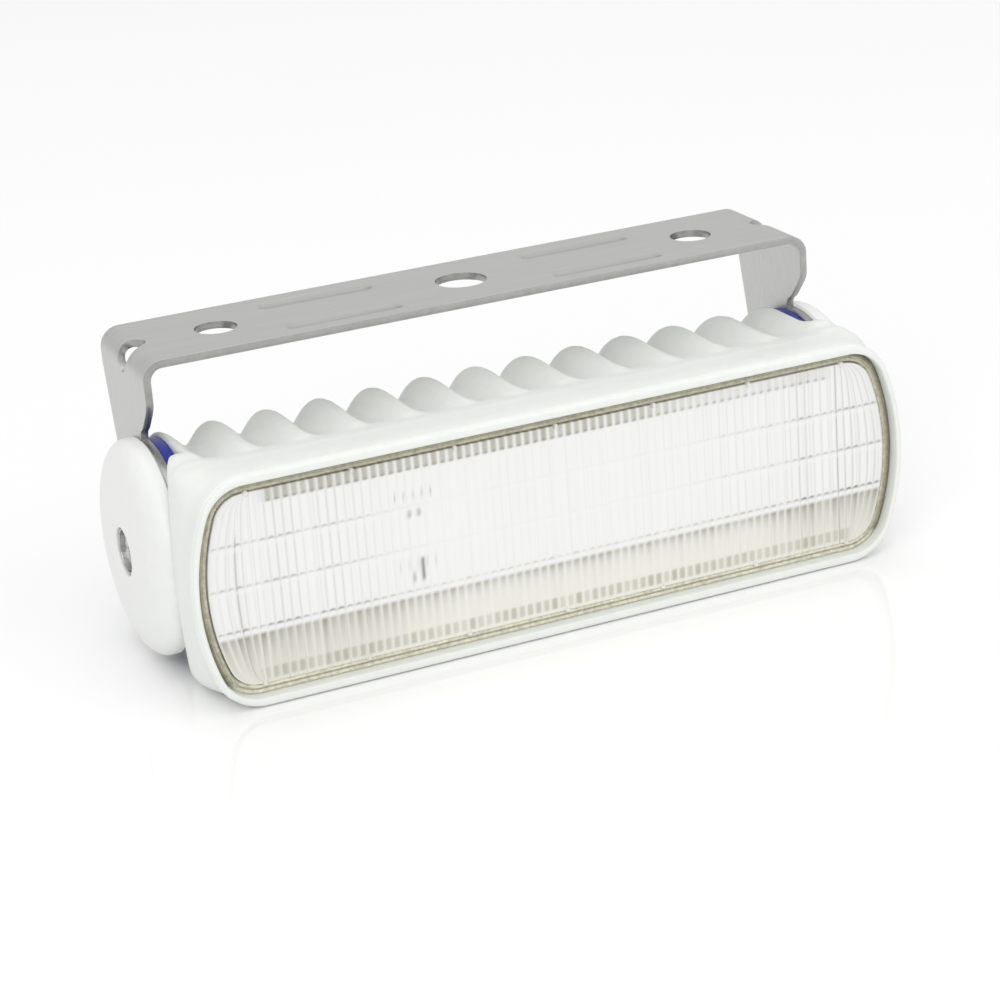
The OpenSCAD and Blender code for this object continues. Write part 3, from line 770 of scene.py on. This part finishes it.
def lens_grids():
    """A flat front and a ribbed back on one grid of upright lines. A line's x shrinks near the
    ends with the outline's half length, so lines lean there. The back rises by the sine of
    the line number, falling to nothing at each row break and before the edge."""
    count = 6 * int(2 * lens_half[0] / prism_pitch)
    u = np.linspace(-lens_half[0], lens_half[0], count + 1)
    top = spread([15.0, 18.4, lens_half[1]], [12, 3])
    stops = np.array([15.0, row_breaks[0] + 0.7, row_breaks[0], row_breaks[0] - 0.7, row_breaks[1] + 0.7,
                      row_breaks[1], row_breaks[1] - 0.7, row_breaks[2] + 0.7, row_breaks[2],
                      row_breaks[2] - 0.7, -15.0])
    inner = spread(stops[::-1], [9, 3, 3, 8, 3, 3, 8, 3, 3, 6])
    z = np.concatenate([-top[::-1], inner[1:-1], top])
    x, z = np.meshgrid(u, z)
    lean = smooth(np.abs(x), lean_from, lens_half[0])
    line = x / prism_pitch
    x = x - np.sign(x) * (lens_half[0] - half_length(z)) * lean
    gap = np.min([np.abs(z - b) for b in row_breaks], axis=0)
    rise = np.sqrt(smooth(gap, 0.0, 0.75)) * (1 - smooth(np.abs(z), prism_top - 0.6, prism_top + 0.4))
    rise = rise * smooth(half_length(z) - np.abs(x), 2.6, 3.4)
    back = lens_back + prism_high * rise * np.abs(np.sin(math.pi * line))
    front = np.stack([x, lens_front + 0 * x, z], -1)
    rear = np.stack([x, back, z], -1)
    grids = [front, rear]
    for edge in (np.s_[0], np.s_[-1], np.s_[:, 0], np.s_[:, -1]):
        grids.append(np.stack([front[edge], rear[edge]]))
    return grids


lens = grid_mesh("ribbed_lens", lens_grids(), pivot, sharp=60)
pip_profile = ([(0, lens_front - 0.12)] + arc(0, lens_front, pip_r, -60, 0, 3)[1:]
               + [(pip_r, lens_back), (0, lens_back)])
pips = [turned(pip_profile, 16) + (i * pip_pitch, 0, side * (lens_half[1] - 0.1))
        for i in range(-3, 4) for side in (-1, 1)]
fused(lens, "pips", pips, "UNION")
lens.data.set_sharp_from_angle(angle=math.radians(60))


def clear_polycarbonate():
    """Clear plastic: a glossy body coloured by the refraction images painted on it, which lets some
    light straight through.
    """
    material = paint("clear_polycarbonate", (1.0, 1.0, 0.99), 0.1, drift=0.02, grain=(1200, 60, 60),
                     bump=0.05, wear=0.03, with_painted_light=True)
    surface = material.node_tree.nodes["Principled BSDF"]
    surface.inputs["IOR"].default_value = 1.58
    surface.inputs["Alpha"].default_value = 0.86
    return material


def chance(number):
    """A fixed number from 0 to 1 for each whole number, from the fraction of a large sine."""
    return np.mod(np.sin(number * 12.9898) * 43758.5453, 1.0)


def bump_at(value, middle, width):
    """A bell curve of height 1 round middle."""
    return np.exp(-((value - middle) / width) ** 2)


# colours of the refraction images painted on the lens
clear_tone = np.array((0.97, 0.97, 0.965))
cream_tone = np.array((0.93, 0.905, 0.80))
olive_tone = np.array((0.35, 0.33, 0.24))
cell_tone = np.array((0.37, 0.35, 0.25))
line_tone = np.array((0.16, 0.155, 0.13))


def lens_painted_images(x, y, z):
    """Painted refraction images: what the prisms gather at each place, painted into the lens's
    colour: near white, a thin grey line along each prism, arcs of dashes at the row breaks, grey
    cells along the top edge, olive bars that fade to cream below the last break, cells along the
    bottom edge, and the dark images of the one source at source_x."""
    u = x.copy()
    for _ in range(25):
        lean = smooth(np.abs(u), lean_from, lens_half[0])
        u = x + np.sign(x) * (lens_half[0] - half_length(z)) * lean
    rib = np.floor(u / prism_pitch)
    phase = u / prism_pitch - rib
    edge = np.minimum(phase, 1 - phase)
    outer = smooth(np.abs(u), 22, 62)
    pick, other = chance(rib), chance(rib + 91)

    grey = (0.05 + 0.2 * outer) * (0.35 + pick) * bump_at(edge, 0, 0.13)
    grey += (0.04 + 0.12 * outer) * other * bump_at(phase, 0.3 + 0.3 * pick, 0.1)
    grey += 0.5 * bump_at(u, -66.2, 0.16) * smooth(12 - z, 0, 2) + 0.3 * bump_at(u, 61.3, 0.2)
    for row in row_breaks:
        arch = row + 0.28 * np.sin(math.pi * phase)
        shown = 0.04 + 0.5 * outer + 0.25 * (row == row_breaks[2])
        grey += shown * (0.5 + 0.8 * pick) * bump_at(z, arch, 0.24) * smooth(edge, 0.06, 0.26)
        grey -= 0.6 * grey * bump_at(z, row - 0.6, 0.35)

    bar = smooth(edge, 0.1, 0.24)
    left = 1 - smooth(u, 10, 34)
    cell = smooth(z, 16.35, 16.75) * smooth(61 - u, 0, 3) * smooth(u + 61, 0, 3)
    cell = cell * bar * (0.22 + 0.45 * left) * (0.85 + 0.3 * pick)
    dots = bump_at(z, 16.75, 0.3) * bump_at(phase, 0.5, 0.26)
    grey += 0.5 * dots * smooth(60.5 - u, 0, 1.5) * smooth(u + 60, 0, 2)

    below = smooth(-z, -row_breaks[2] + 0.75, -row_breaks[2] + 1.3)
    length = 1.7 + 3.6 * smooth(-u, 18, 50) + 2.6 * smooth(u, 40, 60)
    fade = np.exp(-np.maximum(-z + row_breaks[2] - 1.0, 0) / length)
    olive = below * fade * (0.25 + 0.75 * bar) * (0.75 + 0.3 * other)
    cream = below * (0.15 + 0.6 * smooth(-z, 9, 14)) * (0.6 + 0.4 * bar)
    foot = smooth(-z, 15.7, 16.3) * (1 - smooth(-z, 18.0, 18.5)) * bar
    foot = foot * (0.3 + 0.35 * pick) * smooth(66 - np.abs(u), 0, 4)

    aside = u - source_x
    near = bump_at(aside, -0.95, 0.42) + bump_at(aside, 0.95, 0.42)
    grey += 0.85 * near * bump_at(z, 8.0, 0.55)
    strokes = bump_at(np.mod(aside + 0.9, 1.8), 0.9, 0.16) * (np.abs(aside) < 4.4)
    grey += 0.5 * strokes * bump_at(z, 11.6, 0.9) + 0.3 * strokes * bump_at(z, -2.4, 1.2)
    slot = smooth(-z, 1.0, 1.6) * (1 - smooth(-z, 5.6, 6.4))
    second = 0.55 * smooth(-z, 3, 5) * bump_at(aside, -0.95, 0.36)
    grey += slot * (0.85 * bump_at(aside, 0.95, 0.38) + second)

    tone = np.ones((len(x), 3)) * clear_tone
    mixes = ((cream, cream_tone), (olive, olive_tone), (foot + cell, cell_tone), (grey, line_tone))
    for share, colour in mixes:
        tone = tone + (colour - tone) * np.clip(share, 0, 1)[:, None]
    return tone


lens.data.materials.clear()
lens.data.materials.append(clear_polycarbonate())
# painted refraction images, stored on the lens's points
painted_light(lens, lens_painted_images)
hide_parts("lens")
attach(lens, "lamp")


# ---------- Tilt rings ----------
# A deep blue acetal ring on each end of the body; its bush passes through the bracket's eye and
# carries it, and its flange keeps the steel off the paint.

ring_r = (ring_high[2] - ring_low[2]) / 2
ring_in = -ring_high[0]
eye_in = leg_out - sheet - 0.1
bush_end = -ring_low[0]
bush_r = 8.0
screw_gap = 2.75
blue = paint("blue_acetal", (0.022, 0.035, 0.36), 0.38, drift=0.25, grain=(700, 700, 700), bump=0.15)
ring_profile = ([(screw_gap, ring_in), (ring_r - 0.3, ring_in)]
                + arc(ring_r - 0.3, ring_in + 0.3, 0.3, -90, 0, 3)
                + arc(ring_r - 0.4, eye_in - 0.4, 0.4, 0, 90, 3)
                + [(bush_r, eye_in), (bush_r, bush_end - 0.3), (bush_r - 0.3, bush_end),
                   (screw_gap, bush_end), (screw_gap, ring_in)])
for side, hand in ((-1, "left"), (1, "right")):
    section = turned(ring_profile, 128, "x") * (side, 1, 1)
    ring = grid_mesh(f"{hand}_blue_ring", [section], pivot)
    ring.data.materials.append(blue)
    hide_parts(f"{hand}_tilt_ring")
    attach(ring, "lamp")


# ---------- End caps, screws, washers and inserts ----------
# A thick white pillow-edged disc closes each end and clamps the ring. A drawn stainless cup lines
# its recess, and a low-head socket screw in the cup runs into a brass insert in the body.

cap_low, cap_high = (np.array(corner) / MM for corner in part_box("right_end_cap"))
cap_r = (cap_high[2] - cap_low[2]) / 2
cap_in, cap_out = cap_low[0], cap_high[0]
recess_r = 4.8
recess_floor = cap_in + 1.5
cup_r = 4.55
cup_rim = cap_out - 0.5
head_seat = recess_floor + 0.8
head_r = 3.9
head_high = 2.8
hex_r = 1.73
cap_soft = (9.0, 4.6)
cap_white = paint("white_cap", (0.85, 0.86, 0.845), 0.36, drift=0.025, grain=(500, 500, 500), bump=0.1)


def cap_profile():
    """Half section of the cap: hollow behind, a quarter ellipse for its edge, a crown of a fifth
    of a millimetre, an eased recess, and the screw's way through."""
    flat = cap_r - cap_soft[0]
    edge = [(flat + cap_soft[0] * math.cos(a), cap_out - 0.2 - cap_soft[1] * (1 - math.sin(a)))
            for a in np.linspace(0, math.pi / 2, 16)]
    face = [(r, cap_out - 0.2 * (r / flat) ** 2) for r in np.linspace(flat, recess_r + 0.5, 7)[1:]]
    return ([(screw_gap, cap_in), (9.0, cap_in), (9.0, cap_in + 3.6), (18.4, cap_in + 3.6), (18.4, cap_in),
             (cap_r - 0.4, cap_in), (cap_r, cap_in + 0.4)] + edge + face
            + arc(recess_r + 0.4, cap_out - 0.42, 0.4, 90, 180, 4)
            + [(recess_r, recess_floor), (screw_gap, recess_floor), (screw_gap, cap_in)])


def socketed(radius, place, angle):
    """Radii that follow a hexagon where they are the socket's, and stay round elsewhere."""
    sixth = math.pi / 3
    flat = 1 / np.cos(np.mod(angle, sixth) - sixth / 2)
    socket = (radius <= hex_r + 0.01) & (place > head_seat + 0.5) & (radius > 0)
    return np.where(socket, radius * flat, radius)


def screw_profile():
    """Half section of the clamp screw from its tip: rolled thread as V rings, neck, low head with
    eased edge, and the socket down to its cone."""
    thread = []
    for turn in np.arange(58.6, 69.5, 0.8):
        thread += [(2.5, turn), (2.5, turn + 0.15), (2.1, turn + 0.4), (2.5, turn + 0.65)]
    top = head_seat + head_high
    return ([(0, 58.0), (2.1, 58.0)] + thread + [(2.5, 70.0), (2.5, head_seat), (head_r - 0.1, head_seat),
            (head_r, head_seat + 0.1)] + arc(head_r - 0.5, top - 0.5, 0.5, 0, 90, 5)
            + [(hex_r * 1.3, top), (hex_r, top - 0.25), (hex_r, top - 1.8), (0, top - 2.3)])


cup_in = cup_r - 0.4
cup_profile = ([(screw_gap, recess_floor), (cup_r - 0.8, recess_floor)]
               + arc(cup_r - 0.8, recess_floor + 0.8, 0.8, -90, 0, 5)
               + arc(cup_r - 0.2, cup_rim - 0.2, 0.2, 0, 180, 6)
               + arc(cup_in - 0.3, head_seat + 0.3, 0.3, 0, -90, 4)
               + [(screw_gap, head_seat), (screw_gap, recess_floor)])
drawn_steel = paint("drawn_steel", (0.56, 0.56, 0.55), 0.34, metal=1.0, drift=0.2,
                    grain=(300, 1500, 1500), bump=0.2)
for side, hand in ((-1, "left"), (1, "right")):
    for name, profile, steps, shape, sharp, material, node, slot in (
            ("white_cap", cap_profile(), 128, None, 35, cap_white, "end_cap", "white_cap"),
            ("socket_screw", screw_profile(), 96, socketed, 30, screw_steel, "clamp_screw",
             "stainless_screw"),
            ("cup_washer", cup_profile, 96, None, 50, drawn_steel, "screw_washer", "stainless_screw")):
        section = turned(profile, steps, "x", shape) * (side, 1, 1)
        piece = grid_mesh(f"{hand}_{name}", [section], pivot, sharp=sharp)
        piece.data.materials.append(material)
        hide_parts(f"{hand}_{node}")
        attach(piece, "lamp")
    finish(f"{hand}_thread_insert", brass)


# ---------- Cable gland ----------
# The lead's way in, screwed into the boss at the back: a six-sided body on a rubber ring, a
# rubber seal with a stepped throat, and a fluted nut that squeezes the seal.

gland_seat = boss_end + 0.8
gland_neck = gland_seat + 2.6
gland_end = gland_neck + 3.2
nut_end = gland_end + 1.6
bore_r = 3.3
hex_corner = 8.4


def six_sided(radius, place, angle):
    """A hexagon whose corners are turned off by a cone, where the radius is the flange's."""
    sixth = math.pi / 3
    flat = hex_corner * math.cos(sixth / 2) / np.cos(np.mod(angle, sixth) - sixth / 2)
    from_end = np.minimum(place - gland_seat, gland_neck - place)
    chamfer = hex_corner - 1.2 * (1 - np.minimum(from_end / 0.7, 1))
    return np.where(radius > gland_r + 0.5, np.minimum(flat, chamfer) * radius / hex_corner, radius)


def fluted(radius, place, angle):
    """The nut's grip: eighteen shallow flutes that fade out before its rounded end."""
    grip = 0.32 * (np.cos(18 * angle) * 0.5 + 0.5) ** 2 * (1 - smooth(place, nut_end - 2.2, nut_end - 1.2))
    return np.where(radius > 7.0, radius - grip, radius)


body_profile = [(bore_r + 0.5, 12.0), (gland_r - 0.3, 12.0), (gland_r, 12.3), (gland_r, gland_seat - 0.02),
                (hex_corner, gland_seat), (hex_corner, gland_seat + 0.35), (hex_corner, gland_seat + 0.7),
                (hex_corner, gland_neck - 0.7), (hex_corner, gland_neck - 0.35), (hex_corner, gland_neck),
                (gland_r, gland_neck + 0.02), (gland_r, gland_end - 0.3), (gland_r - 0.3, gland_end),
                (5.0, gland_end), (5.0, gland_seat), (bore_r + 0.5, gland_seat), (bore_r + 0.5, 12.0)]
nut_profile = ([(gland_r + 0.02, gland_neck + 0.2), (7.3, gland_neck + 0.2), (7.6, gland_neck + 0.5),
                (7.6, nut_end - 2.4), (7.6, nut_end - 1.8)] + arc(6.2, nut_end - 1.4, 1.4, 0, 90, 7)
               + arc(bore_r + 0.8, nut_end - 0.4, 0.4, 90, 180, 3) + [(bore_r + 0.4, gland_end + 0.02),
               (gland_r + 0.02, gland_end + 0.02), (gland_r + 0.02, gland_neck + 0.2)])
seal_profile = [(bore_r, gland_seat + 0.02), (4.98, gland_seat + 0.02), (4.98, gland_end - 0.02),
                (bore_r + 0.5, gland_end - 0.02), (bore_r, gland_end - 0.5)]
for lip_at in np.linspace(gland_end - 1.4, gland_seat + 1.2, 3):
    seal_profile += [(bore_r, lip_at + 0.3), (bore_r + 0.35, lip_at), (bore_r, lip_at - 0.3)]
seal_profile.append((bore_r, gland_seat + 0.02))
ring_seal = ([(gland_r + 0.02, boss_end + 0.01)] + arc(7.4, boss_end + 0.4, 0.39, -90, 90, 6)
             + [(gland_r + 0.02, gland_seat - 0.01), (gland_r + 0.02, boss_end + 0.01)])
gland_white = paint("gland_nylon", (0.74, 0.745, 0.72), 0.45, drift=0.05, grain=(600, 600, 600), bump=0.2)
rubber = paint("black_rubber", (0.018, 0.018, 0.018), 0.7, drift=0.3, grain=(2500, 2500, 2500), bump=0.4)
for name, profile, shape, node, material, slot in (
        ("hexagon_gland", body_profile, six_sided, "gland_body", gland_white, "gland_plastic"),
        ("fluted_nut", nut_profile, fluted, "gland_nut", gland_white, "gland_plastic"),
        ("lead_seal", seal_profile, None, "gland_seal", rubber, "black_rubber"),
        ("sealing_ring", ring_seal, None, "gland_ring", rubber, "black_rubber")):
    piece = grid_mesh(name, [turned(profile, 144, "y", shape)], pivot, sharp=28)
    piece.data.materials.append(material)
    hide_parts(node)
    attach(piece, "lamp")


# ---------- Studio ----------
# A plain pale floor at the lamp's lowest point, a bright even room, three soft boxes, and the
# camera to the left of the lamp, a little above it and tipped over by a few degrees.

floor_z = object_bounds()[0].z


def pale_floor():
    """A wide round sheet of satin white board under the lamp."""
    radius = np.append(np.linspace(0, 0.3, 7), [1.0, 4.0])[:, None]
    angle = np.linspace(0, 2 * math.pi, 65)
    sheet_points = np.stack([radius * np.cos(angle), radius * np.sin(angle), 0 * radius * angle], -1)
    board = grid_mesh("floor", [sheet_points / MM + (0, 0, floor_z / MM)], up=(0, 0, 1))
    board.data.materials.append(paint("white_board", (0.97, 0.97, 0.97), 0.08, drift=0.006, grain=(3, 3, 3),
                                       bump=0.0, wear=0.02))
    return board


pale_floor()


def soft_sun(name, place, width, power):
    """A distant lamp as wide as width degrees, which shines from place towards the object."""
    light = bpy.data.lights.new(name, "SUN")
    light.angle = math.radians(width)
    light.energy = power
    sun = bpy.data.objects.new(name, light)
    sun.rotation_mode = "QUATERNION"
    sun.rotation_quaternion = Vector(place).to_track_quat("Z", "Y")
    bpy.context.scene.collection.objects.link(sun)


soft_sun("key", (-0.75, -0.95, 0.85), 45, 0.8)
soft_sun("top", (0.05, 0.05, 1.0), 55, 0.6)
soft_sun("fill", (0.9, -0.9, 0.35), 60, 0.45)

room = bpy.data.worlds.new("room")
room.use_nodes = True
glow = room.node_tree.nodes["Background"].inputs
glow["Color"].default_value = (1.0, 1.0, 1.0, 1.0)
glow["Strength"].default_value = 0.73
bpy.context.scene.world = room
bpy.context.scene.view_settings.view_transform = "Standard"

view_az, view_el, view_roll = (math.radians(a) for a in (-22.844, 20.63, -4.263))
view_far = 581.391
aim = np.array([1.177, pivot[1], pivot[2] - 6.684])
back_dir = np.array([math.sin(view_az) * math.cos(view_el), -math.cos(view_az) * math.cos(view_el),
                     math.sin(view_el)])
right = np.array([math.cos(view_az), math.sin(view_az), 0.0])
up = np.cross(back_dir, right)
right, up = (right * math.cos(view_roll) + up * math.sin(view_roll),
             up * math.cos(view_roll) - right * math.sin(view_roll))
camera = bpy.data.objects.new("camera", bpy.data.cameras.new("camera"))
camera.data.lens = 102.915
camera.data.sensor_width = 36.0
camera.data.clip_start = 0.01
camera.data.clip_end = 20.0
place = (aim + view_far * back_dir) * MM
camera.matrix_world = Matrix([[right[i], up[i], back_dir[i], place[i]] for i in range(3)] + [[0, 0, 0, 1]])
bpy.context.scene.collection.objects.link(camera)
bpy.context.scene.camera = camera
